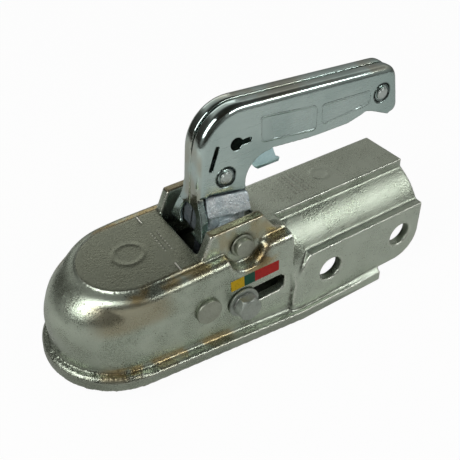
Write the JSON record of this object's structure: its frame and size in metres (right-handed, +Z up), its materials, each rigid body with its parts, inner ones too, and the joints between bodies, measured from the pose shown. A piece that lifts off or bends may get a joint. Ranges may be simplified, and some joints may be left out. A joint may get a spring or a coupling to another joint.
{
  "type": "trailer coupling head",
  "caption": "Cast ball coupling head for a round drawbar tube, with a pressed-sheet lifting handle, locking jaw, side indicator bolt and safety trigger.",
  "frame": {"origin": "centre of the ball socket", "axes": "+X back along the drawbar, +Z up, Y across the coupling"},
  "size_m": [0.226, 0.0856, 0.131],
  "materials": {
    "cast_body": "galvanised rough casting, grey green with yellow tints",
    "handle_sheet": "bright blue zinc plated pressed sheet",
    "lever_zinc": "blue zinc plated casting, speckled",
    "rivet_zinc": "bright zinc plated",
    "trigger_zinc": "light blue zinc plated sheet",
    "pin_steel": "dull zinc plated",
    "spring_steel": "dull spring steel",
    "jaw_iron": "dark greased casting",
    "bolt_zinc": "zinc plated",
    "label_print": "printed plastic label in three plain fields"
  },
  "bodies": {
    "casting": {"coupling_body": "cast_body", "indicator_label": "label_print", "handle_pivot_pin": "pin_steel", "pivot_washer": "pin_steel", "pivot_clip": "spring_steel", "jaw_pin": "pin_steel", "jaw_pin_washer": "pin_steel", "jaw_pin_clip": "spring_steel", "jaw_spring": "spring_steel", "slide_guide": "jaw_iron"},
    "handle": {"handle_shell_left": "handle_sheet", "handle_shell_right": "handle_sheet", "lock_lever": "lever_zinc", "lever_rivet": "rivet_zinc", "end_rivet": "rivet_zinc", "end_spacer": "pin_steel"},
    "trigger": {"safety_trigger": "trigger_zinc"},
    "slider": {"lock_slider": "jaw_iron", "slider_bush_left": "pin_steel", "slider_bush_right": "pin_steel", "indicator_bolt": "bolt_zinc", "indicator_washer": "bolt_zinc", "spring_washer": "spring_steel", "rear_washer": "bolt_zinc", "indicator_nut": "bolt_zinc"},
    "jaw": {"ball_jaw": "jaw_iron"}
  },
  "joints": [
    {"name": "handle_lift", "type": "hinge", "parent": "casting", "child": "handle", "pos_m": [0.066, 0, 0.031], "axis": [0, -1, 0], "range_deg": [0, 38]},
    {"name": "trigger_squeeze", "type": "hinge", "parent": "handle", "child": "trigger", "pos_m": [0.0687, 0, 0.062], "axis": [0, -1, 0], "range_deg": [0, 9], "stiffness_Nm_per_rad": 0.5, "springref_deg": -20.05},
    {"name": "slider_travel", "type": "slide", "parent": "casting", "child": "slider", "axis": [1, 0, 0], "range_m": [0, 0.022]},
    {"name": "jaw_swing", "type": "hinge", "parent": "casting", "child": "jaw", "pos_m": [0.0395, 0, 0.0055], "axis": [0, -1, 0], "range_deg": [0, 25]}
  ],
  "couplings": [
    {"joint": "slider_travel", "follows": "handle_lift", "m_per_rad": 0.033171},
    {"joint": "jaw_swing", "follows": "handle_lift", "ratio": 0.6579}
  ]
}
